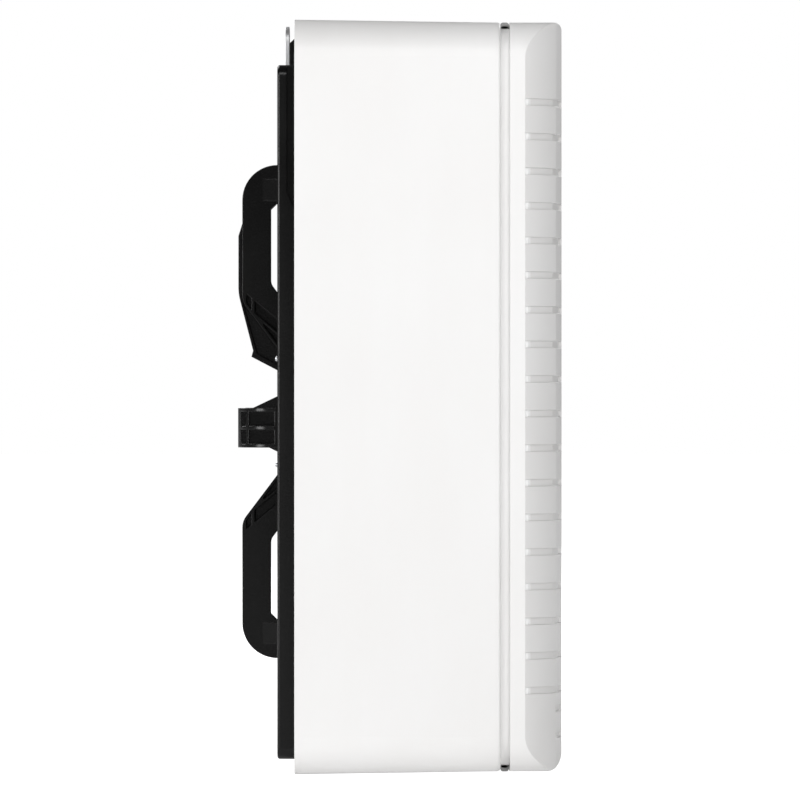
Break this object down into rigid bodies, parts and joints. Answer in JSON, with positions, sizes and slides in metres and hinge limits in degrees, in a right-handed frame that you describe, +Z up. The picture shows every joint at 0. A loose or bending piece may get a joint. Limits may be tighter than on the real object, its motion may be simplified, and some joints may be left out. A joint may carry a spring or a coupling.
{
  "type": "window extractor fan",
  "caption": "Square window extractor fan: white room casing with a slotted pull-off cover, black rear panel, arched motor spider, axial impeller and linked backdraught shutter.",
  "frame": {"origin": "fan axis at the window face of the rear panel", "axes": "+Z up, the slotted cover faces -Y into the room, +Y points outdoors"},
  "size_m": [0.35, 0.1538, 0.35],
  "materials": {
    "white_plastic": "smooth glossy white moulding",
    "grey_rubber": "matte grey rubber",
    "black_rubber": "matte black rubber",
    "black_plastic": "satin black moulding",
    "fan_plastic": "satin dark moulding",
    "flap_plastic": "thin light grey moulding",
    "motor_alloy": "die-cast",
    "lamination": "stacked sheet",
    "copper": "enamelled wire",
    "bearing_bronze": "sintered bush",
    "steel": "bright zinc plate",
    "terminal_brass": "plated",
    "terminal_plastic": "cream moulding"
  },
  "bodies": {
    "frame": {"casing": "white_plastic", "cover_seals": "grey_rubber", "peg_sockets": "black_rubber", "rear_panel": "black_plastic", "motor_spider": "black_plastic", "lead_cover": "black_plastic", "motor_rear_cap": "motor_alloy", "stator_core": "lamination", "motor_front_cap": "motor_alloy", "stator_winding": "copper", "rear_bearing": "bearing_bronze", "front_bearing": "bearing_bronze", "motor_bolts": "steel", "motor_nuts": "steel", "inlet_cone": "black_plastic", "shutter_frame": "flap_plastic", "hanger_tabs": "steel", "hanger_screws": "steel", "case_screws": "steel", "spider_screws": "steel", "shutter_screws": "steel", "terminal_block": "terminal_plastic", "terminal_screws": "terminal_brass", "terminal_lid": "terminal_plastic", "cable_gland": "black_rubber"},
    "rotor": {"shaft": "steel", "drive_pin": "steel", "rotor_core": "lamination", "impeller": "fan_plastic", "spinner_nut": "fan_plastic"},
    "cover": {"front_cover": "white_plastic"},
    "tie_bar": {"tie_bar": "flap_plastic"},
    "flap_1": {"flap_1": "flap_plastic"},
    "flap_2": {"flap_2": "flap_plastic"},
    "flap_3": {"flap_3": "flap_plastic"},
    "flap_4": {"flap_4": "flap_plastic"},
    "flap_5": {"flap_5": "flap_plastic"},
    "flap_6": {"flap_6": "flap_plastic"},
    "flap_7": {"flap_7": "flap_plastic"}
  },
  "joints": [
    {"name": "rotor_spin", "type": "hinge", "parent": "frame", "child": "rotor", "pos_m": [0, -0.036, 0], "axis": [0, 1, 0], "continuous": true},
    {"name": "cover_pull", "type": "slide", "parent": "frame", "child": "cover", "axis": [0, -1, 0], "range_m": [0, 0.06]},
    {"name": "flap_1_swing", "type": "hinge", "parent": "frame", "child": "flap_1", "pos_m": [0, -0.0956, 0.111], "axis": [1, 0, 0], "range_deg": [0, 70]},
    {"name": "flap_2_swing", "type": "hinge", "parent": "frame", "child": "flap_2", "pos_m": [0, -0.0956, 0.079], "axis": [1, 0, 0], "range_deg": [0, 70]},
    {"name": "flap_3_swing", "type": "hinge", "parent": "frame", "child": "flap_3", "pos_m": [0, -0.0956, 0.047], "axis": [1, 0, 0], "range_deg": [0, 70]},
    {"name": "flap_4_swing", "type": "hinge", "parent": "frame", "child": "flap_4", "pos_m": [0, -0.0956, 0.015], "axis": [1, 0, 0], "range_deg": [0, 70]},
    {"name": "flap_5_swing", "type": "hinge", "parent": "frame", "child": "flap_5", "pos_m": [0, -0.0956, -0.017], "axis": [1, 0, 0], "range_deg": [0, 70]},
    {"name": "flap_6_swing", "type": "hinge", "parent": "frame", "child": "flap_6", "pos_m": [0, -0.0956, -0.049], "axis": [1, 0, 0], "range_deg": [0, 70]},
    {"name": "flap_7_swing", "type": "hinge", "parent": "frame", "child": "flap_7", "pos_m": [0, -0.0956, -0.081], "axis": [1, 0, 0], "range_deg": [0, 70]},
    {"name": "tie_bar_pivot", "type": "hinge", "parent": "flap_1", "child": "tie_bar", "pos_m": [-0.113, -0.0826, 0.111], "axis": [1, 0, 0], "range_deg": [-70, 0]}
  ],
  "couplings": [
    {"joint": "flap_2_swing", "follows": "flap_1_swing", "ratio": 1},
    {"joint": "flap_3_swing", "follows": "flap_1_swing", "ratio": 1},
    {"joint": "flap_4_swing", "follows": "flap_1_swing", "ratio": 1},
    {"joint": "flap_5_swing", "follows": "flap_1_swing", "ratio": 1},
    {"joint": "flap_6_swing", "follows": "flap_1_swing", "ratio": 1},
    {"joint": "flap_7_swing", "follows": "flap_1_swing", "ratio": 1},
    {"joint": "tie_bar_pivot", "follows": "flap_1_swing", "ratio": -1}
  ]
}
